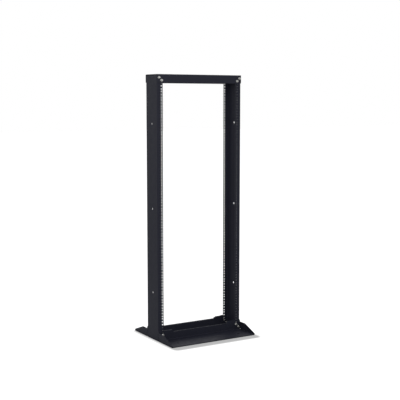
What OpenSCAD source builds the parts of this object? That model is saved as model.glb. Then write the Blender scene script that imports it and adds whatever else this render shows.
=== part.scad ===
// Two post open frame rack for 19 inch equipment, standing on two formed feet.
// X runs across the rack, Y from the front (negative) to the rear, Z up from the floor.
// The origin is on the floor, midway between the posts and between front and rear.

/* [Rack] */
// Rack units of holes between the end bolts
rack_units = 30; // [8:1:45]
// Height of one rack unit
unit_h = 44.45; // [44.45:0.01:44.46]
// Clear width between the flange tips of the posts
opening_w = 450.8; // [450:0.1:452]
// Flange tip to the middle of the rack holes
hole_edge = 7.15; // [6.5:0.05:8]
// Floor to the start of the first rack unit
lower_margin = 38.2; // [36:0.1:60]
// End of the last rack unit to the top of the rack
upper_margin = 38.3; // [36:0.1:60]

/* [Posts] */
// Depth of a post over its flanges
post_d = 124; // [76:1:160]
// Width of a flange, from its tip to the outer face of the web
flange_w = 32.6; // [31:0.1:45]
// Sheet thickness of a post
post_t = 2.6; // [2:0.1:4]
// Inside radius of the bends of a post
post_bend_r = 2.4; // [1:0.1:4]
// Diameter of a rack hole
rack_hole_d = 7.1; // [5:0.1:7.5]
// Gap between the top of a post and the inside bends of the top channel
post_top_gap = 0.4; // [0.2:0.1:3]
// Diameter of the cable tie holes in the web of a post
web_hole_d = 11; // [6:1:20]
// Number of cable tie holes in the web of a post
web_holes = 3; // [1:1:6]
// Distance from the ends of the post to the outer cable tie holes
web_hole_inset = 256; // [80:1:300]

/* [Top channel] */
// Sheet thickness of the top channel
top_t = 3; // [2:0.1:4]
// Inside radius of the bends of the top channel
top_bend_r = 2; // [1:0.1:4]
// Height of the front and rear legs of the top channel
top_leg_h = 44.5; // [42:0.5:60]
// Radius of the lower corners of the legs
top_corner_r = 6; // [1:0.5:8]

/* [Feet] */
// Sheet thickness of a foot
foot_t = 4.8; // [3:0.1:6]
// Inside radius of the bend of a foot
foot_bend_r = 3; // [1:0.1:4]
// Reach of a foot on the floor, from the face of the post to the tip
foot_reach = 150; // [120:1:200]
// Height of the standing leg of a foot between the posts
foot_leg_h = 44.5; // [42:0.5:50]
// Height of the raised ends of the standing leg, behind the bolts
foot_tab_h = 56.5; // [54:0.5:57]
// Length of a raised end, from the flange tip of the post towards the middle
foot_tab_reach = 49; // [20:1:90]
// Radius of the outer upper corner of a raised end
foot_tab_r = 5; // [1:0.5:8]
// Diameter of a floor anchor hole
anchor_d = 14; // [8:0.5:18]
// Distance between the two anchor holes of a foot
anchor_pitch_x = 380; // [200:1:420]
// Distance from the tip of a foot to its anchor holes
anchor_inset = 57; // [25:1:70]

/* [Gussets] */
// Thickness of a gusset plate
gusset_t = 3; // [2:0.1:6]
// Length of the level top edge of a gusset
gusset_flat = 52; // [20:1:90]
// Height of the blunt tip of a gusset
gusset_tip_h = 5; // [2:0.5:12]
// Radius of the cut that clears the bend of the foot
gusset_relief_r = 7; // [5:0.5:10]

/* [Bolts] */
// Diameter of a frame bolt hole
bolt_hole_d = 7; // [6.4:0.1:7.2]
// Outer face of the web to the outer frame bolt
outer_bolt_inset = 10; // [10:0.1:13]
// Height step from the inner to the outer frame bolt
bolt_step_z = 14.5; // [12:0.5:15]

/* [Hidden] */
$fn = 48;

// A rack unit holds three holes: 1/2 inch across the joint of two units, then 5/8 and 5/8 inch.
hole_steps = [6.35, 22.225, 38.1];
rack_h = lower_margin + rack_units * unit_h + upper_margin;
first_unit_z = lower_margin;
last_unit_z = rack_h - upper_margin;
rack_w = opening_w + 2 * flange_w;
column_x = opening_w / 2 + hole_edge;
bolt_xs = [column_x, rack_w / 2 - outer_bolt_inset];
post_h = rack_h - top_t - top_bend_r - post_top_gap;
inner_bolt_low = first_unit_z - hole_steps[0];
inner_bolt_high = last_unit_z + hole_steps[0];
face_y = post_d / 2;
foot_tip_y = face_y + foot_reach;
bend_cut = 1;
web_hole_pitch = (rack_h - 2 * web_hole_inset) / max(1, web_holes - 1);

// Quarter of a bent sheet seen along the bend, with its centre at the origin.
module bend(r, t) {
    intersection() {
        difference() {
            circle(r = r + t);
            circle(r = r);
        }
        square(r + t);
    }
}

// Outline of the left post: web on the left, flanges turned towards the middle.
module post_outline() {
    outer_r = post_bend_r + post_t;
    for (side = [-1, 1]) {
        scale([1, side]) {
            translate([-rack_w / 2 + outer_r, face_y - post_t])
                square([flange_w - outer_r, post_t]);
            translate([-rack_w / 2 + outer_r, face_y - outer_r])
                mirror([1, 0])
                    bend(post_bend_r, post_t);
        }
    }
    translate([-rack_w / 2, -face_y + outer_r])
        square([post_t, post_d - 2 * outer_r]);
}

// Rods along Y at each rack hole of the left column.
module rack_hole_rods() {
    for (unit = [0 : rack_units - 1], step = hole_steps) {
        translate([-column_x, 0, first_unit_z + unit * unit_h + step])
            rotate([90, 0, 0])
                cylinder(d = rack_hole_d, h = post_d + 2 * bend_cut, center = true);
    }
}

// Rods along Y at the two frame bolts of the left lower corner.
module lower_bolt_rods(reach) {
    for (step = [0, 1]) {
        translate([-bolt_xs[step], 0, inner_bolt_low - step * bolt_step_z])
            rotate([90, 0, 0])
                cylinder(d = bolt_hole_d, h = reach, center = true);
    }
}

// Rods along Y at the two frame bolts of the left upper corner.
module upper_bolt_rods(reach) {
    for (step = [0, 1]) {
        translate([-bolt_xs[step], 0, inner_bolt_high + step * bolt_step_z])
            rotate([90, 0, 0])
                cylinder(d = bolt_hole_d, h = reach, center = true);
    }
}

// Rods along X at the cable tie holes in the web of the left post.
module web_hole_rods() {
    for (i = [0 : web_holes - 1]) {
        translate([-rack_w / 2, 0, web_hole_inset + i * web_hole_pitch])
            rotate([0, 90, 0])
                cylinder(d = web_hole_d, h = 4 * post_t, center = true);
    }
}

module post() {
    color("#26282b")
        difference() {
            linear_extrude(post_h)
                post_outline();
            rack_hole_rods();
            lower_bolt_rods(post_d + 2 * bend_cut);
            upper_bolt_rods(post_d + 2 * bend_cut);
            web_hole_rods();
        }
}

module left_post() {
    post();
}

module right_post() {
    mirror([1, 0, 0])
        post();
}

// Section of the top channel, open downwards, over the flanges of the posts.
module top_outline() {
    outer_r = top_bend_r + top_t;
    for (side = [-1, 1]) {
        scale([side, 1]) {
            translate([face_y, rack_h - top_leg_h])
                square([top_t, top_leg_h - outer_r]);
            translate([face_y + top_t - outer_r, rack_h - outer_r])
                bend(top_bend_r, top_t);
        }
    }
    translate([-face_y - top_t + outer_r, rack_h - top_t])
        square([post_d + 2 * top_t - 2 * outer_r, top_t]);
}

// Sliver that rounds the lower left corner of the legs, seen along Y.
module top_corner_cut() {
    translate([-rack_w / 2, 0, rack_h - top_leg_h])
        rotate([90, 0, 0])
            linear_extrude(post_d + 4 * top_t, center = true)
                difference() {
                    translate([-bend_cut, -bend_cut])
                        square(top_corner_r + bend_cut);
                    translate([top_corner_r, top_corner_r])
                        circle(r = top_corner_r);
                }
}

module top_channel() {
    color("#26282b")
        difference() {
            rotate([90, 0, 90])
                linear_extrude(rack_w, center = true)
                    top_outline();
            for (side = [0, 1]) {
                mirror([side, 0, 0]) {
                    top_corner_cut();
                    upper_bolt_rods(post_d + 4 * top_t);
                }
            }
        }
}

// Section of the rear foot: standing leg against the post, plate on the floor.
module foot_outline() {
    outer_r = foot_bend_r + foot_t;
    translate([face_y, outer_r])
        square([foot_t, foot_tab_h - outer_r]);
    translate([face_y + outer_r, outer_r])
        rotate(180)
            bend(foot_bend_r, foot_t);
    translate([face_y + outer_r, 0])
        square([foot_reach - outer_r, foot_t]);
}

// Window that lowers the standing leg between its raised ends, seen along Y.
module foot_leg_window() {
    step_h = foot_tab_h - foot_leg_h;
    low_x = opening_w / 2 - foot_tab_reach - step_h;
    high_x = low_x + step_h + bend_cut;
    rotate([90, 0, 0])
        linear_extrude(3 * foot_tip_y, center = true)
            polygon([
                [-low_x, foot_leg_h],
                [low_x, foot_leg_h],
                [high_x, foot_tab_h + bend_cut],
                [-high_x, foot_tab_h + bend_cut]
            ]);
}

// Sliver that rounds the outer upper corner of the left raised end.
module foot_tab_cut() {
    translate([-rack_w / 2, 0, foot_tab_h])
        rotate([90, 0, 0])
            linear_extrude(3 * foot_tip_y, center = true)
                difference() {
                    translate([-bend_cut, -foot_tab_r])
                        square(foot_tab_r + bend_cut);
                    translate([foot_tab_r, -foot_tab_r])
                        circle(r = foot_tab_r);
                }
}

module foot() {
    color("#26282b")
        difference() {
            rotate([90, 0, 90])
                linear_extrude(rack_w, center = true)
                    foot_outline();
            foot_leg_window();
            for (side = [0, 1]) {
                mirror([side, 0, 0]) {
                    foot_tab_cut();
                    lower_bolt_rods(post_d + 4 * foot_t);
                    // The lowest rack hole stays open through the raised end.
                    translate([-column_x, face_y + foot_t / 2, first_unit_z + hole_steps[0]])
                        rotate([90, 0, 0])
                            cylinder(d = rack_hole_d, h = 2 * foot_t, center = true);
                    translate([-anchor_pitch_x / 2, foot_tip_y - anchor_inset, foot_t / 2])
                        cylinder(d = anchor_d, h = 2 * foot_t, center = true);
                }
            }
        }
}

module front_foot() {
    mirror([0, 1, 0])
        foot();
}

module rear_foot() {
    foot();
}

// Rear left gusset: stands on the plate of the foot and closes its end.
module gusset() {
    color("#26282b")
        translate([-rack_w / 2, 0, 0])
            rotate([90, 0, 90])
                linear_extrude(gusset_t)
                    difference() {
                        polygon([
                            [face_y + foot_t, foot_t],
                            [foot_tip_y, foot_t],
                            [foot_tip_y, foot_t + gusset_tip_h],
                            [face_y + foot_t + gusset_flat, foot_leg_h],
                            [face_y + foot_t, foot_leg_h]
                        ]);
                        translate([face_y + foot_t, foot_t])
                            circle(r = gusset_relief_r);
                    }
}

module rear_left_gusset() {
    gusset();
}

module rear_right_gusset() {
    mirror([1, 0, 0])
        gusset();
}

module front_left_gusset() {
    mirror([0, 1, 0])
        gusset();
}

module front_right_gusset() {
    mirror([0, 1, 0])
        mirror([1, 0, 0])
            gusset();
}

left_post();
right_post();
top_channel();
front_foot();
rear_foot();
front_left_gusset();
front_right_gusset();
rear_left_gusset();
rear_right_gusset();
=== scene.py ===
"""Finishes, frame hardware and studio of a two post open frame rack.

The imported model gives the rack's sheet metal: two posts, a top channel, two
feet and four gussets.  This file dresses that metal, adds the frame bolts, the
nuts behind them and the welds of the gussets, and stands the rack on a plain
pale floor in soft studio light.  Lengths are in metres, and MM makes
millimetres of them.
"""

from __future__ import annotations

import logging
import math
from collections.abc import Callable, Iterator
from contextlib import contextmanager
from dataclasses import dataclass, field
from enum import Enum
from itertools import product

import bmesh
import bpy
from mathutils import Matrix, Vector

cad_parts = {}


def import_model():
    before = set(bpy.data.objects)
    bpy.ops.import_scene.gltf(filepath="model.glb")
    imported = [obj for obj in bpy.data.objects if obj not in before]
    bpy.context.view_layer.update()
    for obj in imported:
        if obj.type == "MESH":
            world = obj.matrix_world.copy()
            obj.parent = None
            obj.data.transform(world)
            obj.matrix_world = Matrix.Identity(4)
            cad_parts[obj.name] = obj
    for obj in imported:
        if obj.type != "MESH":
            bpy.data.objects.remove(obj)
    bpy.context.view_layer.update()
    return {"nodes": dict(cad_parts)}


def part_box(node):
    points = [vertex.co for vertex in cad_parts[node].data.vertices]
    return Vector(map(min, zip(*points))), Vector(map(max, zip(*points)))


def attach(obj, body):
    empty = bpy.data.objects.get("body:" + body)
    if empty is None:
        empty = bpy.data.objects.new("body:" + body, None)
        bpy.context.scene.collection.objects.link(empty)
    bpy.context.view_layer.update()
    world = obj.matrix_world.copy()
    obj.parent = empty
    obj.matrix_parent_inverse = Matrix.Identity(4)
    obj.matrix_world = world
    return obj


LOG = logging.getLogger("rack")
MM = 0.001

Color = tuple[float, float, float]
Point = tuple[float, float, float]
Piece = bpy.types.Object
Socket = bpy.types.NodeSocket

UP = (0, 0, 1)
FACING = 0.9
MERGE_DISTANCE = 0.005 * MM
SMOOTH_ANGLE = math.radians(32)


class Side(Enum):
    """Left or right end of the rack, as the sign of X."""

    LEFT = -1
    RIGHT = 1


class Face(Enum):
    """Front or rear face of the rack, as the sign of Y."""

    FRONT = -1
    REAR = 1


# Modelling in edit mode


class Bench:
    """Short calls for modelling with operators in edit mode."""

    @staticmethod
    def clear() -> None:
        """Leave edit mode and deselect every object."""
        if bpy.context.object and bpy.context.object.mode != "OBJECT":
            bpy.ops.object.mode_set(mode="OBJECT")
        bpy.ops.object.select_all(action="DESELECT")

    @staticmethod
    def take(piece: Piece) -> Piece:
        """Select one object alone, make it active and return it."""
        Bench.clear()
        piece.select_set(True)
        bpy.context.view_layer.objects.active = piece
        return piece

    @staticmethod
    @contextmanager
    def editing(piece: Piece) -> Iterator[None]:
        """Hold a piece in edit mode for the length of a with block.

        Args:
            piece: The mesh to edit, taken alone.

        Yields:
            None, with nothing of the mesh selected.
        """
        Bench.take(piece)
        bpy.ops.object.mode_set(mode="EDIT")
        bpy.ops.mesh.select_mode(type="FACE")
        bpy.ops.mesh.select_all(action="DESELECT")
        yield
        bpy.ops.object.mode_set(mode="OBJECT")

    @staticmethod
    def pick_faces(test: Callable[[bmesh.types.BMFace], bool]) -> int:
        """Select the faces that pass a test, and nothing else.

        Args:
            test: Says whether a face is wanted.

        Returns:
            How many faces are selected.
        """
        bpy.ops.mesh.select_mode(type="FACE")
        bpy.ops.mesh.select_all(action="DESELECT")
        mesh = bpy.context.edit_object.data
        shape = bmesh.from_edit_mesh(mesh)
        found = [face for face in shape.faces if test(face)]
        for face in found:
            face.select_set(True)
        bmesh.update_edit_mesh(mesh)
        return len(found)

    @staticmethod
    def raise_faces(step: Point, scale: float = 1.0, centre: Point | None = None) -> None:
        """Extrude the selected faces, move them and scale them.

        Args:
            step: How far the new faces move.
            scale: Their size against the old ones.
            centre: Point that the scaling keeps, or None for their middle.
        """
        bpy.ops.mesh.extrude_region_move(TRANSFORM_OT_translate={"value": step})
        if scale != 1.0:
            extra = {} if centre is None else {"center_override": centre}
            bpy.ops.transform.resize(value=(scale, scale, 1.0), **extra)

    @staticmethod
    def apply(piece: Piece, kind: str, **settings: object) -> None:
        """Add a modifier with its settings and apply it.

        Args:
            piece: The mesh that takes the modifier.
            kind: The modifier's type.
            settings: Values for the modifier's own properties.
        """
        Bench.take(piece)
        modifier = piece.modifiers.new(kind.title(), kind)
        for name, value in settings.items():
            setattr(modifier, name, value)
        bpy.ops.object.modifier_apply(modifier=modifier.name)

    @staticmethod
    def cut(piece: Piece, tool: Piece, operation: str) -> None:
        """Join, cut or intersect a piece with a tool shape, which is used up.

        Args:
            piece: The mesh that is changed.
            tool: The closed shape that acts on it.
            operation: UNION, DIFFERENCE or INTERSECT.
        """
        Bench.apply(piece, "BOOLEAN", object=tool, operation=operation, solver="EXACT")
        bpy.data.objects.remove(tool, do_unlink=True)

    @staticmethod
    def cylinder(radius: float, low: float, high: float, sides: int = 40) -> Piece:
        """Add an upright cylinder round the Z axis.

        Args:
            radius: Its radius.
            low: Height of its lower end.
            high: Height of its upper end.
            sides: Number of its sides.

        Returns:
            The new object, with its place in its mesh.
        """
        Bench.clear()
        bpy.ops.mesh.primitive_cylinder_add(
            vertices=sides, radius=radius, depth=high - low, location=(0, 0, (low + high) / 2)
        )
        piece = bpy.context.object
        bpy.ops.object.transform_apply(location=True, rotation=True, scale=True)
        return piece

    @staticmethod
    def finish(piece: Piece, name: str, material: bpy.types.Material) -> Piece:
        """Close, orient, smooth, name and dress a new piece.

        Args:
            piece: The finished shape.
            name: Name of the piece.
            material: Finish of the piece.

        Returns:
            The same piece.
        """
        with Bench.editing(piece):
            bpy.ops.mesh.select_all(action="SELECT")
            bpy.ops.mesh.remove_doubles(threshold=MERGE_DISTANCE)
            bpy.ops.mesh.normals_make_consistent(inside=False)
        Bench.take(piece)
        bpy.ops.object.shade_smooth_by_angle(angle=SMOOTH_ANGLE)
        piece.name = piece.data.name = name
        piece.data.materials.clear()
        piece.data.materials.append(material)
        return piece

    @staticmethod
    def place(model: Piece, name: str, turn: Point, at: Point) -> Piece:
        """Copy a model with its own mesh, turn it and set it down.

        Args:
            model: The piece that is repeated.
            name: Name of the copy.
            turn: Rotation about X, Y and Z in radians.
            at: Where the model's origin goes.

        Returns:
            The copy, with its place in its mesh.
        """
        copy = model.copy()
        copy.data = model.data.copy()
        bpy.context.scene.collection.objects.link(copy)
        copy.name = copy.data.name = name
        copy.rotation_euler = turn
        copy.location = at
        Bench.take(copy)
        bpy.ops.object.transform_apply(location=True, rotation=True, scale=True)
        return copy


# Finishes


class Graph:
    """A node tree with short calls for adding and joining nodes."""

    def __init__(self, tree: bpy.types.NodeTree) -> None:
        """Work on a node tree."""
        self.tree = tree

    @classmethod
    def for_material(cls, name: str) -> tuple[bpy.types.Material, "Graph"]:
        """Make a material with an empty node tree.

        Args:
            name: The material's name.

        Returns:
            The material and the graph of its tree.
        """
        material = bpy.data.materials.new(name)
        material.use_nodes = True
        material.node_tree.nodes.clear()
        return material, cls(material.node_tree)

    def add(self, kind: str, **settings: object) -> bpy.types.Node:
        """Add a node.

        Args:
            kind: The node's type without its ShaderNode prefix, or in full for a group's own
                nodes.
            settings: Properties of the node.

        Returns:
            The new node.
        """
        node = self.tree.nodes.new(kind if kind.startswith("Node") else f"ShaderNode{kind}")
        for name, value in settings.items():
            setattr(node, name, value)
        return node

    def feed(self, socket: Socket, value: object) -> None:
        """Link a socket to another, or give it a plain value."""
        if isinstance(value, Socket):
            self.tree.links.new(value, socket)
        else:
            socket.default_value = value

    def math(
        self, operation: str, first: object, second: object = 0.0, clamp: bool = False
    ) -> Socket:
        """Add a Math node.

        Args:
            operation: Its operation.
            first: A socket or a number.
            second: A socket or a number.
            clamp: Whether the result stays between 0 and 1.

        Returns:
            The node's output.
        """
        node = self.add("Math", operation=operation, use_clamp=clamp)
        self.feed(node.inputs[0], first)
        self.feed(node.inputs[1], second)
        return node.outputs[0]

    def ramp(
        self, value: object, low: float, high: float, to_low: float = 0.0, to_high: float = 1.0
    ) -> Socket:
        """Map a value smoothly from one span to another.

        Args:
            value: The socket that is mapped.
            low: Start of its span.
            high: End of its span.
            to_low: Result at the start.
            to_high: Result at the end.

        Returns:
            The mapped value.
        """
        node = self.add("MapRange", interpolation_type="SMOOTHSTEP", clamp=True)
        for socket, entry in zip(node.inputs, (value, low, high, to_low, to_high)):
            self.feed(socket, entry)
        return node.outputs[0]

    def noise(self, position: object, scale: float, detail: float, roughness: float) -> Socket:
        """Add a noise pattern and return its value between 0 and 1.

        Args:
            position: Socket with the point in space.
            scale: Features per metre.
            detail: Number of finer layers.
            roughness: Weight of the finer layers.

        Returns:
            The pattern's value.
        """
        node = self.add("TexNoise", noise_dimensions="3D")
        self.feed(node.inputs["Vector"], position)
        node.inputs["Scale"].default_value = scale
        node.inputs["Detail"].default_value = detail
        node.inputs["Roughness"].default_value = roughness
        return node.outputs["Fac"]

    def blend(self, factor: object, first: object, second: object) -> Socket:
        """Mix two colours.

        Args:
            factor: Share of the second colour.
            first: A socket or a colour.
            second: A socket or a colour.

        Returns:
            The mixed colour.
        """
        node = self.add("Mix", data_type="RGBA")
        colors = [s for s in node.inputs if s.type == "RGBA"]
        self.feed(node.inputs["Factor"], factor)
        for socket, entry in zip(colors, (first, second)):
            self.feed(socket, entry if isinstance(entry, Socket) else (*entry, 1.0))
        return next(s for s in node.outputs if s.type == "RGBA")

    def scaled(self, value: object, factor: float) -> Socket:
        """Return a value times a number."""
        return self.math("MULTIPLY", value, factor)

    def length(self, first: object, second: object) -> Socket:
        """Return the length of the side that joins two square ones."""
        squares = (self.math("MULTIPLY", side, side) for side in (first, second))
        return self.math("SQRT", self.math("ADD", *squares))

    def position(self) -> Socket:
        """Return the point on the piece in its own coordinates."""
        return self.add("TexCoord").outputs["Object"]


FLOAT = "NodeSocketFloat"
VECTOR = "NodeSocketVector"


class Effects:
    """Shader node groups that several finishes share."""

    def __init__(self) -> None:
        """Start with no groups built."""
        self._groups: dict[str, bpy.types.NodeTree] = {}

    def _group(
        self, name: str, inputs: dict[str, float], outputs: dict[str, str]
    ) -> tuple[Graph, bpy.types.Node, bpy.types.Node]:
        """Make an empty group with named sockets.

        Args:
            name: The group's name.
            inputs: Its number inputs with their usual values.
            outputs: Its outputs with their socket types.

        Returns:
            The graph, the input node and the output node.
        """
        tree = bpy.data.node_groups.new(name, "ShaderNodeTree")
        for label, value in inputs.items():
            socket = tree.interface.new_socket(name=label, in_out="INPUT", socket_type=FLOAT)
            socket.default_value = value
        for label, kind in outputs.items():
            tree.interface.new_socket(name=label, in_out="OUTPUT", socket_type=kind)
        graph = Graph(tree)
        self._groups[name] = tree
        return graph, graph.add("NodeGroupInput"), graph.add("NodeGroupOutput")

    def use(self, graph: Graph, name: str, **values: object) -> bpy.types.Node:
        """Place a group in a material.

        Args:
            graph: The material's graph.
            name: Name of the group, which is built on its first use.
            values: Its inputs, with spaces in their names as underscores.

        Returns:
            The group node.
        """
        if name not in self._groups:
            getattr(self, f"_build_{name}")()
        node = graph.add("Group")
        node.node_tree = self._groups[name]
        for label, value in values.items():
            graph.feed(node.inputs[label.replace("_", " ")], value)
        return node

    def _build_powder_grain(self) -> None:
        """Build the orange peel and fine speckle of a cured powder coat."""
        finer = 2.4
        peel_share = 0.75
        graph, source, result = self._group(
            "powder_grain", {"Cell": 1.6 * MM}, {"Height": FLOAT, "Speckle": FLOAT}
        )
        per_metre = graph.math("DIVIDE", 1.0, source.outputs["Cell"])
        peel = graph.add("TexNoise", noise_dimensions="3D")
        graph.feed(peel.inputs["Vector"], graph.position())
        graph.feed(peel.inputs["Scale"], per_metre)
        peel.inputs["Detail"].default_value = 1.5
        fine = graph.add("TexVoronoi", feature="SMOOTH_F1")
        graph.feed(fine.inputs["Vector"], graph.position())
        graph.feed(fine.inputs["Scale"], graph.scaled(per_metre, finer))
        fine.inputs["Smoothness"].default_value = 0.6
        waves = graph.scaled(peel.outputs["Fac"], peel_share)
        grains = graph.scaled(fine.outputs["Distance"], 1 - peel_share)
        graph.feed(result.inputs["Height"], graph.math("ADD", waves, grains))
        graph.feed(result.inputs["Speckle"], graph.ramp(fine.outputs["Distance"], 0.05, 0.65))

    def _build_coat_drift(self) -> None:
        """Build the slow change of tone and gloss where the coat is thicker or thinner."""
        upright = 0.35
        broad_per_metre, clouds_per_metre = 7.0, 38.0
        broad_share = 0.65
        graph, source, result = self._group(
            "coat_drift", {"Amount": 1.0}, {"Tone": FLOAT, "Gloss": FLOAT}
        )
        place = graph.position()
        stretch = graph.add("Mapping")
        graph.feed(stretch.inputs["Vector"], place)
        stretch.inputs["Scale"].default_value = (1.0, 1.0, upright)
        broad = graph.noise(stretch.outputs["Vector"], broad_per_metre, 3.0, 0.55)
        cloudy = graph.noise(place, clouds_per_metre, 3.0, 0.6)
        tone = graph.math(
            "ADD", graph.scaled(broad, broad_share), graph.scaled(cloudy, 1 - broad_share)
        )
        off_middle = graph.math("SUBTRACT", tone, 0.5)
        centred = graph.math("MULTIPLY", off_middle, source.outputs["Amount"])
        graph.feed(result.inputs["Tone"], graph.math("ADD", centred, 0.5, clamp=True))
        graph.feed(result.inputs["Gloss"], graph.ramp(cloudy, 0.3, 0.7))

    def _build_soft_edges(self) -> None:
        """Build the rounding of the edges and a worn, broken up mask of them, which the powder
        coat lightens as painted highlight and thinner coat.
        """
        radius = 0.9 * MM
        slight_turn, full_turn = 0.015, 0.22
        graph, source, result = self._group(
            "soft_edges", {"Breakup": 0.5}, {"Normal": VECTOR, "Mask": FLOAT}
        )
        rounding = graph.add("Bevel", samples=6)
        rounding.inputs["Radius"].default_value = radius
        flat = graph.add("NewGeometry")
        between = graph.add("VectorMath", operation="DOT_PRODUCT")
        graph.feed(between.inputs[0], rounding.outputs["Normal"])
        graph.feed(between.inputs[1], flat.outputs["Normal"])
        turned = graph.math("SUBTRACT", 1.0, between.outputs["Value"])
        edge = graph.ramp(turned, slight_turn, full_turn)
        worn = graph.ramp(graph.noise(graph.position(), 160.0, 3.0, 0.6), 0.35, 0.7)
        lost = graph.math("MULTIPLY", worn, source.outputs["Breakup"])
        kept = graph.math("SUBTRACT", 1.0, lost)
        graph.feed(result.inputs["Normal"], rounding.outputs["Normal"])
        graph.feed(result.inputs["Mask"], graph.math("MULTIPLY", edge, kept))

    def _build_rack_holes(self) -> None:
        """Build a mask of the walls of the rack holes, which repeat with each rack unit."""
        hole_shares = (1 / 7, 1 / 2, 6 / 7)
        rim_start, rim_end = 0.02 * MM, 0.12 * MM
        sizes = {
            "Column": 232.55 * MM,
            "Start": 38.2 * MM,
            "End": 1371.7 * MM,
            "Unit": 44.45 * MM,
            "Radius": 3.55 * MM,
        }
        graph, source, result = self._group("rack_holes", sizes, {"Mask": FLOAT})
        given = source.outputs
        parts = graph.add("SeparateXYZ")
        graph.feed(parts.inputs[0], graph.position())
        from_middle = graph.math("ABSOLUTE", parts.outputs["X"])
        across = graph.math("SUBTRACT", from_middle, given["Column"])
        height = graph.math("SUBTRACT", parts.outputs["Z"], given["Start"])
        in_unit = graph.math("FLOORED_MODULO", height, given["Unit"])
        nearest: Socket | None = None
        for share in hole_shares:
            away = graph.math("SUBTRACT", in_unit, graph.scaled(given["Unit"], share))
            distance = graph.length(across, away)
            nearest = distance if nearest is None else graph.math("MINIMUM", nearest, distance)
        past = graph.math("SUBTRACT", nearest, given["Radius"])
        rim = graph.ramp(past, rim_start, rim_end, 1.0, 0.0)
        above = graph.math("GREATER_THAN", height, 0.0)
        below = graph.math("LESS_THAN", parts.outputs["Z"], given["End"])
        in_rows = graph.math("MULTIPLY", above, below)
        graph.feed(result.inputs["Mask"], graph.math("MULTIPLY", rim, in_rows))


@dataclass(frozen=True)
class PowderCoat:
    """Satin black powder coat over sheet steel.

    Attributes:
        name: The material's name.
        color: Colour of the coat.
        fleck_and_edge_highlight_color: Pale colour of the flecks, and of the edges, where it is
            thinner coat and a painted highlight.
        darkest: Tone of the coat's darkest places against its colour.
        lightest: Tone of its lightest places.
        drift: Strength of the slow change of tone.
        speckle: Share of the pale colour in the speckle.
        edge_tone: Share of the pale colour on edges, a painted highlight over thinner coat.
        edge_breakup: How much the lightened edges are broken up.
        roughness: Gloss of the coat, 0 for a mirror.
        gloss_drift: Slow change of the roughness.
        edge_polish: How much smoother the edges are.
        specular: Strength of its plain reflection.
        cell: Size of the orange peel.
        relief: Height of the orange peel.
        relief_strength: Strength of the orange peel.
        bare_holes: Whether the rack holes were drilled through the coat.
        bare_color: Colour of the steel in those holes.
        bare_metal: How metallic that steel looks.
    """

    name: str
    color: Color = (0.0136, 0.0146, 0.0245)
    fleck_and_edge_highlight_color: Color = (0.036, 0.038, 0.045)
    darkest: float = 0.80
    lightest: float = 1.22
    drift: float = 0.9
    speckle: float = 0.10
    edge_tone: float = 0.35
    edge_breakup: float = 0.55
    roughness: float = 0.50
    gloss_drift: float = 0.07
    edge_polish: float = 0.08
    specular: float = 0.12
    cell: float = 1.5 * MM
    relief: float = 0.035 * MM
    relief_strength: float = 0.6
    bare_holes: bool = False
    bare_color: Color = (0.27, 0.27, 0.265)
    bare_metal: float = 0.9

    def material(self, effects: Effects) -> bpy.types.Material:
        """Build the finish.

        Args:
            effects: The shared shader groups.

        Returns:
            The material.
        """
        made, graph = Graph.for_material(self.name)
        grain = effects.use(graph, "powder_grain", Cell=self.cell)
        drift = effects.use(graph, "coat_drift", Amount=self.drift)
        edges = effects.use(graph, "soft_edges", Breakup=self.edge_breakup)
        shader = graph.add("BsdfPrincipled")
        output = graph.add("OutputMaterial")

        dark = tuple(c * self.darkest for c in self.color)
        light = tuple(c * self.lightest for c in self.color)
        coat = graph.blend(drift.outputs["Tone"], dark, light)
        speckle = graph.scaled(grain.outputs["Speckle"], self.speckle)
        flecked = graph.blend(speckle, coat, self.fleck_and_edge_highlight_color)
        # Painted highlight with thinner coat: the edges are lightened towards the pale colour.
        edge_highlight_share = graph.scaled(edges.outputs["Mask"], self.edge_tone)
        color = graph.blend(edge_highlight_share, flecked, self.fleck_and_edge_highlight_color)
        gloss = graph.scaled(drift.outputs["Gloss"], self.gloss_drift)
        roughness = graph.math("ADD", gloss, self.roughness - self.gloss_drift / 2)
        polish = graph.scaled(edges.outputs["Mask"], self.edge_polish)
        roughness = graph.math("SUBTRACT", roughness, polish)
        if self.bare_holes:
            holes = effects.use(graph, "rack_holes")
            color = graph.blend(holes.outputs["Mask"], color, self.bare_color)
            metal = graph.scaled(holes.outputs["Mask"], self.bare_metal)
            graph.feed(shader.inputs["Metallic"], metal)
        bump = graph.add("Bump")
        bump.inputs["Strength"].default_value = self.relief_strength
        bump.inputs["Distance"].default_value = self.relief
        graph.feed(bump.inputs["Height"], grain.outputs["Height"])
        graph.feed(bump.inputs["Normal"], edges.outputs["Normal"])
        graph.feed(shader.inputs["Base Color"], color)
        graph.feed(shader.inputs["Roughness"], roughness)
        graph.feed(shader.inputs["Normal"], bump.outputs["Normal"])
        shader.inputs["Specular IOR Level"].default_value = self.specular
        graph.feed(output.inputs["Surface"], shader.outputs["BSDF"])
        return made


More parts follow.
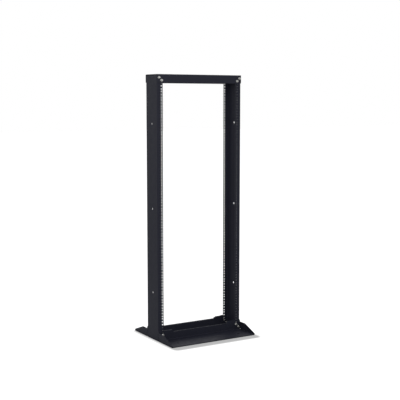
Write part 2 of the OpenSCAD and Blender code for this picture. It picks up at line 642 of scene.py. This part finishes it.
@dataclass(frozen=True)
class BrightZinc:
    """Bright zinc plating on bolts and nuts.

    Attributes:
        name: The material's name.
        color: Colour of the clean plating.
        dull_color: Colour where the plating has dulled.
        edge_color: Colour of rubbed edges.
        edge_tone: Share of that colour on edges.
        edge_breakup: How much the rubbed edges are broken up.
        roughness: Gloss of the clean plating.
        dulling: How much rougher the dull places are.
        spots_per_metre: Fineness of the dull places.
        scuffs_per_metre: Fineness of the scuffs.
        relief: Depth of the scuffs.
        relief_strength: Strength of the scuffs.
    """

    name: str = "bright_zinc"
    color: Color = (0.46, 0.46, 0.445)
    dull_color: Color = (0.25, 0.25, 0.24)
    edge_color: Color = (0.60, 0.60, 0.58)
    edge_tone: float = 0.6
    edge_breakup: float = 0.3
    roughness: float = 0.30
    dulling: float = 0.08
    spots_per_metre: float = 420.0
    scuffs_per_metre: float = 2600.0
    relief: float = 0.01 * MM
    relief_strength: float = 0.35

    def material(self, effects: Effects) -> bpy.types.Material:
        """Build the finish.

        Args:
            effects: The shared shader groups.

        Returns:
            The material.
        """
        made, graph = Graph.for_material(self.name)
        edges = effects.use(graph, "soft_edges", Breakup=self.edge_breakup)
        place = graph.position()
        spots = graph.ramp(graph.noise(place, self.spots_per_metre, 4.0, 0.65), 0.32, 0.72)
        scuffs = graph.noise(place, self.scuffs_per_metre, 2.0, 0.5)
        shader = graph.add("BsdfPrincipled")
        output = graph.add("OutputMaterial")
        plain = graph.blend(spots, self.dull_color, self.color)
        rubbed = graph.scaled(edges.outputs["Mask"], self.edge_tone)
        graph.feed(shader.inputs["Base Color"], graph.blend(rubbed, plain, self.edge_color))
        clean = graph.scaled(spots, -self.dulling)
        roughness = graph.math("ADD", clean, self.roughness + self.dulling)
        graph.feed(shader.inputs["Roughness"], roughness)
        bump = graph.add("Bump")
        bump.inputs["Strength"].default_value = self.relief_strength
        bump.inputs["Distance"].default_value = self.relief
        graph.feed(bump.inputs["Height"], scuffs)
        graph.feed(bump.inputs["Normal"], edges.outputs["Normal"])
        graph.feed(shader.inputs["Normal"], bump.outputs["Normal"])
        shader.inputs["Metallic"].default_value = 1.0
        graph.feed(output.inputs["Surface"], shader.outputs["BSDF"])
        return made


# The rack's metal


@dataclass
class SheetMetal:
    """The posts, the top channel, the feet and the gussets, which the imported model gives.

    Attributes:
        posts: Nodes whose rack holes show bare steel.
        feet: Nodes of the feet.
        plain: Nodes of the other plates.
    """

    posts: tuple[str, ...] = ("left_post", "right_post")
    feet: tuple[str, ...] = ("front_foot", "rear_foot")
    plain: tuple[str, ...] = (
        "top_channel",
        "front_left_gusset",
        "front_right_gusset",
        "rear_left_gusset",
        "rear_right_gusset",
    )

    def dress(self, nodes: dict[str, Piece], effects: Effects) -> None:
        """Give each plate its finish.

        Args:
            nodes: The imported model's objects by name.
            effects: The shared shader groups.
        """
        finishes = {
            self.posts: PowderCoat("post_powder_coat", bare_holes=True),
            self.feet: PowderCoat("foot_powder_coat", bare_holes=True, cell=1.8 * MM),
            self.plain: PowderCoat("plate_powder_coat"),
        }
        for names, finish in finishes.items():
            material = finish.material(effects)
            for name in names:
                slots = nodes[name].data.materials
                slots.clear()
                slots.append(material)
                LOG.info("dressed %s", name)


@dataclass
class FrameBolts:
    """Hexagon flange bolts and nuts that hold the frame together at its corners.

    Attributes:
        thread: Diameter of the thread.
        pitch: Pitch of the thread.
        across_flats: Width of the hexagons.
        flange: Diameter of the bolt's flange.
        head: Height of the head over the seat.
        nut: Height of the nut.
        upper_length: Length of the bolts of the top channel.
        lower_length: Length of the bolts of the feet.
        column: Distance of the inner bolts from the middle of the rack.
        outer_inset: Distance of the outer bolts from the side of the rack.
        end_margin: Height of the inner bolts from the end of the rack.
        step: Height from the inner to the outer bolt.
        post_wall: Thickness of the posts' sheet, which the nuts bear on.
        dish: Depth of the dish in the head.
    """

    thread: float = 6.0 * MM
    pitch: float = 1.0 * MM
    across_flats: float = 10.0 * MM
    flange: float = 14.2 * MM
    head: float = 6.2 * MM
    nut: float = 5.0 * MM
    upper_length: float = 14.0 * MM
    lower_length: float = 16.0 * MM
    column: float = 232.55 * MM
    outer_inset: float = 10.0 * MM
    end_margin: float = 31.85 * MM
    step: float = 14.5 * MM
    post_wall: float = 2.6 * MM
    dish: float = 0.3 * MM

    @property
    def corner_radius(self) -> float:
        """Return the distance from a hexagon's middle to its corners."""
        return self.across_flats / math.sqrt(3)

    def chamfered_hexagon(self, low: float, high: float, both_ends: bool) -> Piece:
        """Model a hexagon whose ends are turned to a cone.

        Args:
            low: Height of its lower end.
            high: Height of its upper end.
            both_ends: Whether the lower end is turned as well.

        Returns:
            The closed shape.
        """
        chamfer = math.radians(30)
        hexagon = Bench.cylinder(self.corner_radius, low, high, sides=6)
        blank_radius = self.corner_radius * 1.2
        end_radius = self.across_flats * 0.475
        slope = (blank_radius - end_radius) * math.tan(chamfer)
        start = low + slope if both_ends else low - MM
        blank = Bench.cylinder(blank_radius, start, high - slope, sides=48)
        with Bench.editing(blank):
            Bench.pick_faces(lambda face: face.normal.z > FACING)
            Bench.raise_faces((0, 0, slope), end_radius / blank_radius, (0, 0, high))
            if both_ends:
                Bench.pick_faces(lambda face: face.normal.z < -FACING)
                Bench.raise_faces((0, 0, -slope), end_radius / blank_radius, (0, 0, low))
        Bench.cut(hexagon, blank, "INTERSECT")
        return hexagon

    def threaded_rod(self, top: float, tip: float) -> Piece:
        """Model a rod with a helical thread and a tapered tip.

        Args:
            top: Height of its upper end.
            tip: Height of its tip.

        Returns:
            The closed shape.
        """
        thread_depth = 0.61 * self.pitch
        major = self.thread / 2
        minor = major - thread_depth
        turns = math.ceil((top - tip) / self.pitch) + 3
        steps = 18
        Bench.clear()
        bpy.ops.mesh.primitive_plane_add(size=self.pitch, location=(0, 0, 0))
        rod = bpy.context.object
        with Bench.editing(rod):
            shape = bmesh.from_edit_mesh(rod.data)
            corners = list(shape.verts)
            bmesh.ops.delete(shape, geom=[corners[3]], context="VERTS")
            chain = list(shape.verts)
            for vertex in chain:
                vertex.co = (0, 0, 0)
            ends = [v for v in chain if len(v.link_edges) == 1]
            middle = next(v for v in chain if len(v.link_edges) == 2)
            base = tip - 1.5 * self.pitch
            ends[0].co = (minor, 0, base)
            middle.co = (major, 0, base + self.pitch / 2)
            ends[1].co = (minor, 0, base + self.pitch)
            bmesh.update_edit_mesh(rod.data)
        Bench.apply(
            rod,
            "SCREW",
            axis="Z",
            angle=math.tau,
            screw_offset=self.pitch,
            iterations=turns,
            steps=steps,
            render_steps=steps,
            use_merge_vertices=True,
            merge_threshold=MERGE_DISTANCE,
        )
        with Bench.editing(rod):
            bpy.ops.mesh.select_all(action="SELECT")
            bpy.ops.mesh.remove_doubles(threshold=MERGE_DISTANCE)
            for end, side in ((top, "clear_outer"), (tip, "clear_inner")):
                bpy.ops.mesh.select_all(action="SELECT")
                keep = {side: True, "use_fill": True}
                bpy.ops.mesh.bisect(plane_co=(0, 0, end), plane_no=UP, **keep)
            bpy.ops.mesh.select_all(action="SELECT")
            bpy.ops.mesh.normals_make_consistent(inside=False)
        taper = 1.1 * self.pitch
        sleeve = Bench.cylinder(major * 1.3, tip + taper, top + MM, sides=24)
        with Bench.editing(sleeve):
            Bench.pick_faces(lambda face: face.normal.z < -FACING)
            Bench.raise_faces((0, 0, -taper), minor * 0.96 / (major * 1.3), (0, 0, tip))
        Bench.cut(rod, sleeve, "INTERSECT")
        return rod

    def bolt_model(self, length: float) -> Piece:
        """Model a bolt whose seat is at the origin, with its head towards +Z.

        Args:
            length: Length under the head.

        Returns:
            The bolt as one closed shape.
        """
        seat_bevel = 0.25 * MM
        hexagon_base = 0.6 * MM
        overlap = 0.1 * MM
        # Rise of each ring of the flange, and its size against the ring below.
        rings = (
            (0.20 * MM, self.flange / (self.flange - 2 * seat_bevel)),
            (0.40 * MM, 1.0),
            (0.15 * MM, 1 - 0.35 * MM / self.flange),
            (1.20 * MM, 0.80),
            (0.30 * MM, 0.86),
        )
        body = Bench.cylinder(self.flange / 2 - seat_bevel, 0, seat_bevel, sides=48)
        with Bench.editing(body):
            Bench.pick_faces(lambda face: face.normal.z > FACING)
            for rise, size in rings:
                Bench.raise_faces((0, 0, rise), size, (0, 0, 0))
        hexagon = self.chamfered_hexagon(hexagon_base, self.head, both_ends=False)
        with Bench.editing(hexagon):
            Bench.pick_faces(lambda face: face.normal.z > 0.99)
            for sink, size in ((0, 0.70), (-self.dish, 0.90)):
                Bench.raise_faces((0, 0, sink), size, (0, 0, self.head))
        Bench.cut(body, hexagon, "UNION")
        rod = self.threaded_rod(overlap, -length)
        Bench.cut(body, rod, "UNION")
        return body

    def nut_model(self) -> Piece:
        """Model a nut that stands on the origin, with a countersunk bore.

        Returns:
            The nut as one closed shape.
        """
        body = self.chamfered_hexagon(0.0, self.nut, both_ends=True)
        bore = self.thread / 2 + 0.04 * MM
        flare = 0.45 * MM
        flare_size = 1 + 0.6 * MM / bore
        past = 1.4
        cutter = Bench.cylinder(bore, flare, self.nut - flare, sides=32)
        with Bench.editing(cutter):
            for sign, end in ((1, self.nut), (-1, 0.0)):
                Bench.pick_faces(lambda face, s=sign: face.normal.z * s > FACING)
                Bench.raise_faces((0, 0, sign * flare * past), flare_size, (0, 0, end))
        Bench.cut(body, cutter, "DIFFERENCE")
        return body

    def build(
        self, effects: Effects, width: float, height: float, seats: dict[str, float]
    ) -> list[Piece]:
        """Model the bolts and nuts and set them in the four corners.

        Args:
            effects: The shared shader groups.
            width: Width of the rack.
            height: Height of the rack.
            seats: Distances from the middle of the rack of the seats of the upper heads, the
                lower heads and the nuts.

        Returns:
            The bolts and nuts.
        """
        zinc = BrightZinc().material(effects)
        lengths = {"upper": self.upper_length, "lower": self.lower_length}
        models = {
            level: Bench.finish(self.bolt_model(length), f"{level}_bolt_model", zinc)
            for level, length in lengths.items()
        }
        nut = Bench.finish(self.nut_model(), "nut_model", zinc)
        made: list[Piece] = []
        spin_step, hexagon_turn = 37, 60
        for number, (face, side, level, inner) in enumerate(
            product(Face, Side, lengths, (True, False))
        ):
            x = side.value * (self.column if inner else width / 2 - self.outer_inset)
            drop = self.end_margin - (0 if inner else self.step)
            z = height - drop if level == "upper" else drop
            label = f"{face.name}_{side.name}_{level}_{'inner' if inner else 'outer'}".lower()
            spin = math.radians((number * spin_step) % hexagon_turn)
            lean = math.radians(-90) * face.value
            head_at = (x, face.value * seats[level], z)
            nut_at = (x, face.value * seats["nut"], z)
            model = Bench.place(models[level], "spun_bolt", (0, 0, spin), (0, 0, 0))
            made.append(Bench.place(model, f"{label}_bolt", (lean, 0, 0), head_at))
            bpy.data.objects.remove(model, do_unlink=True)
            made.append(Bench.place(nut, f"{label}_nut", (-lean, 0, 0), nut_at))
            LOG.info("set %s bolt and nut", label)
        for model in (*models.values(), nut):
            bpy.data.objects.remove(model, do_unlink=True)
        return made


@dataclass
class GussetWelds:
    """Short weld beads in the inner corners between the gussets and the feet.

    Attributes:
        throat: Radius of a bead.
        ripple: Length of one ripple of a bead.
        floor_beads: Distances from the post's face of the middles of the beads on the plate.
        floor_length: Length of a bead on the plate.
        leg_length: Length of the upright bead at the standing leg.
        leg_drop: Distance from the top of that bead to the top of the gusset.
    """

    throat: float = 2.4 * MM
    ripple: float = 1.7 * MM
    floor_beads: tuple[float, ...] = (32 * MM, 78 * MM, 124 * MM)
    floor_length: float = 24 * MM
    leg_length: float = 22 * MM
    leg_drop: float = 5 * MM

    def bead_model(self, length: float) -> Piece:
        """Model a bead along the Z axis, from the origin up, with ripples and tapered ends.

        Args:
            length: Length of the bead.

        Returns:
            The closed shape.
        """
        count = round(length / self.ripple)
        end_size, end_crest = 0.55, 0.8
        end_rise = 0.35 * self.ripple
        # Size against the crest and rise in ripples of the three rings of a ripple.
        rings = ((1.0, 0.30), (0.97, 0.30), (0.82, 0.40))
        bead = Bench.cylinder(self.throat * end_size, 0, end_rise, sides=16)
        with Bench.editing(bead):
            Bench.pick_faces(lambda face: face.normal.z > FACING)
            size = end_size
            at = end_rise
            for index in range(count):
                crest = 1.0 if 0 < index < count - 1 else end_crest
                for share, rise in rings:
                    at += rise * self.ripple
                    step = (0, 0, rise * self.ripple)
                    Bench.raise_faces(step, crest * share / size, (0, 0, at))
                    size = crest * share
            Bench.raise_faces((0, 0, end_rise), end_size / size, (0, 0, at))
        return bead

    def build(
        self,
        material: bpy.types.Material,
        inner_x: float,
        plate_z: float,
        leg_y: float,
        post_y: float,
        leg_top: float,
    ) -> list[Piece]:
        """Model the beads and lay them in the corners of the four gussets.

        Args:
            material: Finish of the feet.
            inner_x: Distance of the gussets' inner faces from the middle.
            plate_z: Height of the plate's upper face.
            leg_y: Distance of the standing leg's outer face from the middle.
            post_y: Distance of the posts' faces from the middle.
            leg_top: Height of the gussets at the leg.

        Returns:
            One piece of welds for each gusset.
        """
        floor_bead = Bench.finish(self.bead_model(self.floor_length), "floor_bead_model", material)
        leg_bead = Bench.finish(self.bead_model(self.leg_length), "leg_bead_model", material)
        made = []
        for face, side in product(Face, Side):
            x = side.value * inner_x
            name = f"{face.name}_{side.name}_gusset_welds".lower()
            outwards = (math.radians(-90) * face.value, 0, 0)
            beads = [
                Bench.place(
                    floor_bead,
                    f"{name}_{index}",
                    outwards,
                    (x, face.value * (post_y + away - self.floor_length / 2), plate_z),
                )
                for index, away in enumerate(self.floor_beads)
            ]
            leg_at = (x, face.value * leg_y, leg_top - self.leg_length - self.leg_drop)
            beads.append(Bench.place(leg_bead, f"{name}_leg", (0, 0, 0), leg_at))
            Bench.clear()
            for bead in beads:
                bead.select_set(True)
            bpy.context.view_layer.objects.active = beads[0]
            bpy.ops.object.join()
            beads[0].name = beads[0].data.name = name
            made.append(beads[0])
            LOG.info("laid %s", name)
        for model in (floor_bead, leg_bead):
            bpy.data.objects.remove(model, do_unlink=True)
        return made


# Studio


@dataclass(frozen=True)
class Lamp:
    """A soft rectangular lamp.

    Attributes:
        name: The lamp's name.
        at: Its place.
        size: Its width and height.
        power: Its power in watts.
    """

    name: str
    at: Point
    size: tuple[float, float]
    power: float

    def hang(self, target: Point) -> None:
        """Hang the lamp so that it faces a point and the camera doesn't see it.

        Args:
            target: The point.
        """
        data = bpy.data.lights.new(self.name, "AREA")
        data.shape = "RECTANGLE"
        data.size, data.size_y = self.size
        data.energy = self.power
        lamp = bpy.data.objects.new(self.name, data)
        lamp.location = self.at
        aim = Vector(target) - Vector(self.at)
        lamp.rotation_euler = aim.to_track_quat("-Z", "Y").to_euler()
        lamp.visible_camera = False
        bpy.context.scene.collection.objects.link(lamp)


@dataclass
class Studio:
    """Plain pale floor, soft light and the camera.

    Attributes:
        camera_at: Place of the camera.
        camera_turn: Turn of the camera to the right of straight ahead, in degrees.
        camera_tilt: Tilt of the camera below level, in degrees.
        lens: Focal length in millimetres.
        sensor: Width of the sensor in millimetres.
        sight: How far the camera sees.
        ambient: Strength of the light from all round.
        lamps: The lamps.
        lamps_face: The point that the lamps face.
        floor_size: Width and depth of the floor.
        floor_drop: Depth of the floor below the feet, which keeps their faces apart.
        floor_tone: Grey of the floor.
        floor_lift: Brightness that is added to the floor where it is seen straight.
        mirrored_lift: The same where it is seen in gloss or through glass.
        shade_depth: Brightness of the close shade of the feet against the open floor.
        shade_near: Distance at which that shade starts to fade.
        shade_far: Distance at which it ends.
        shade_inset: How much narrower than the feet the shaded place is on each side.
        shade_shift: How far in front of the feet the shaded place lies.
    """

    camera_at: Point = (-2.4568, -4.1623, 1.2724)
    camera_turn: float = 30.926
    camera_tilt: float = 6.320
    lens: float = 80.57
    sensor: float = 36.0
    sight: float = 200.0
    ambient: float = 0.34
    lamps: tuple[Lamp, ...] = (
        Lamp("key_light", (-1.9, -0.9, 1.35), (0.7, 1.7), 5.0),
        Lamp("front_light", (-1.6, -3.2, 1.9), (1.6, 1.8), 42.0),
        Lamp("fill_light", (1.2, -3.4, 1.9), (1.6, 1.8), 12.0),
    )
    lamps_face: Point = (0.0, 0.0, 0.7)
    floor_size: float = 60.0
    floor_drop: float = 0.6 * MM
    floor_tone: float = 0.80
    floor_lift: float = 0.85
    mirrored_lift: float = 0.25
    shade_depth: float = 0.40
    shade_near: float = 16 * MM
    shade_far: float = 50 * MM
    shade_inset: float = 20 * MM
    shade_shift: float = 24 * MM

    def build(self, foot_width: float, foot_depth: float) -> None:
        """Set up the floor, the light and the camera.

        Args:
            foot_width: Width of the rack's footprint.
            foot_depth: Depth of the rack's footprint.
        """
        self._floor(foot_width, foot_depth)
        self._world()
        for lamp in self.lamps:
            lamp.hang(self.lamps_face)
        self._camera()

    def _shade(self, graph: Graph, foot_width: float, foot_depth: float) -> Socket:
        """Map the close shade of the feet.

        Args:
            graph: The floor's graph.
            foot_width: Width of the footprint.
            foot_depth: Depth of the footprint.

        Returns:
            The share of light that the shade leaves, 1 on the open floor.
        """
        parts = graph.add("SeparateXYZ")
        graph.feed(parts.inputs[0], graph.position())
        spans = (
            ("X", foot_width / 2 - self.shade_inset, 0.0),
            ("Y", foot_depth / 2, self.shade_shift),
        )
        gaps = []
        for axis, half, shift in spans:
            from_middle = graph.math("ABSOLUTE", graph.math("ADD", parts.outputs[axis], shift))
            gaps.append(graph.math("MAXIMUM", graph.math("SUBTRACT", from_middle, half), 0.0))
        away = graph.length(*gaps)
        return graph.ramp(away, self.shade_near, self.shade_far, self.shade_depth, 1.0)

    def _floor(self, foot_width: float, foot_depth: float) -> None:
        """Lay a pale floor that darkens a little in the close shade of the feet.

        Args:
            foot_width: Width of the footprint.
            foot_depth: Depth of the footprint.
        """
        Bench.clear()
        bpy.ops.mesh.primitive_plane_add(size=self.floor_size, location=(0, 0, -self.floor_drop))
        floor = bpy.context.object
        bpy.ops.object.transform_apply(location=True, rotation=True, scale=True)
        floor.name = floor.data.name = "studio_floor"
        material, graph = Graph.for_material("studio_floor")
        shade = self._shade(graph, foot_width, foot_depth)
        black, grey, white = ((tone,) * 3 for tone in (0.0, self.floor_tone, 1.0))
        base = graph.add("BsdfDiffuse")
        graph.feed(base.inputs["Color"], graph.blend(shade, black, grey))
        lift = graph.add("Emission")
        graph.feed(lift.inputs["Color"], graph.blend(shade, black, white))
        path = graph.add("LightPath").outputs
        mirrored = graph.math("MAXIMUM", path["Is Glossy Ray"], path["Is Transmission Ray"])
        strength = graph.math(
            "MAXIMUM",
            graph.scaled(path["Is Camera Ray"], self.floor_lift),
            graph.scaled(mirrored, self.mirrored_lift),
        )
        graph.feed(lift.inputs["Strength"], strength)
        total = graph.add("AddShader")
        graph.feed(total.inputs[0], base.outputs[0])
        graph.feed(total.inputs[1], lift.outputs[0])
        output = graph.add("OutputMaterial")
        graph.feed(output.inputs["Surface"], total.outputs[0])
        floor.data.materials.append(material)

    def _world(self) -> None:
        """Light the rack evenly from all round, before a white background."""
        world = bpy.data.worlds.new("studio")
        world.use_nodes = True
        bpy.context.scene.world = world
        world.node_tree.nodes.clear()
        graph = Graph(world.node_tree)
        backdrop = graph.add("Background")
        backdrop.inputs["Color"].default_value = (1.0, 1.0, 1.0, 1.0)
        path = graph.add("LightPath").outputs
        seen = graph.math("MAXIMUM", path["Is Camera Ray"], path["Is Glossy Ray"])
        seen = graph.math("MAXIMUM", seen, path["Is Transmission Ray"])
        strength = graph.math("ADD", graph.scaled(seen, 1.0 - self.ambient), self.ambient)
        graph.feed(backdrop.inputs["Strength"], strength)
        output = graph.add("OutputWorld")
        graph.feed(output.inputs["Surface"], backdrop.outputs[0])

    def _camera(self) -> None:
        """Stand the camera in front of the rack's left corner."""
        data = bpy.data.cameras.new("camera")
        data.sensor_width = self.sensor
        data.lens = self.lens
        data.clip_end = self.sight
        camera = bpy.data.objects.new("camera", data)
        camera.location = self.camera_at
        lean = math.radians(90 - self.camera_tilt)
        camera.rotation_euler = (lean, 0.0, -math.radians(self.camera_turn))
        bpy.context.scene.collection.objects.link(camera)
        bpy.context.scene.camera = camera


# Assembly


@dataclass
class Rack:
    """The whole rack: its sheet metal, its bolts and its welds.

    Attributes:
        metal: The plates.
        bolts: The frame bolts.
        welds: The welds of the gussets.
        effects: The shared shader groups.
    """

    metal: SheetMetal = field(default_factory=SheetMetal)
    bolts: FrameBolts = field(default_factory=FrameBolts)
    welds: GussetWelds = field(default_factory=GussetWelds)
    effects: Effects = field(default_factory=Effects)

    def build(self, nodes: dict[str, Piece]) -> None:
        """Dress the plates and add the bolts, nuts and welds.

        Args:
            nodes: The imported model's objects by name.
        """
        self.metal.dress(nodes, self.effects)
        _, post_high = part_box("left_post")
        top_low, top_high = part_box("top_channel")
        gusset_low, gusset_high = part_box("rear_left_gusset")
        seats = {
            "upper": top_high.y,
            "lower": gusset_low.y,
            "nut": post_high.y - self.bolts.post_wall,
        }
        hardware = self.bolts.build(self.effects, top_high.x - top_low.x, top_high.z, seats)
        beads = self.welds.build(
            material=nodes["front_foot"].data.materials[0],
            inner_x=-gusset_high.x,
            plate_z=gusset_low.z,
            leg_y=gusset_low.y,
            post_y=post_high.y,
            leg_top=gusset_high.z,
        )
        for piece in hardware + beads:
            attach(piece, "root")


def main() -> None:
    """Load the frame, build the rack and the studio, and set the view transform."""
    logging.basicConfig(level=logging.INFO, format="%(name)s: %(message)s")
    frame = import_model()
    Rack().build(frame["nodes"])
    foot_low, foot_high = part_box("front_foot")
    Studio().build(foot_high.x - foot_low.x, -2 * foot_low.y)
    view = bpy.context.scene.view_settings
    view.view_transform = "Standard"


if __name__ == "__main__":
    main()
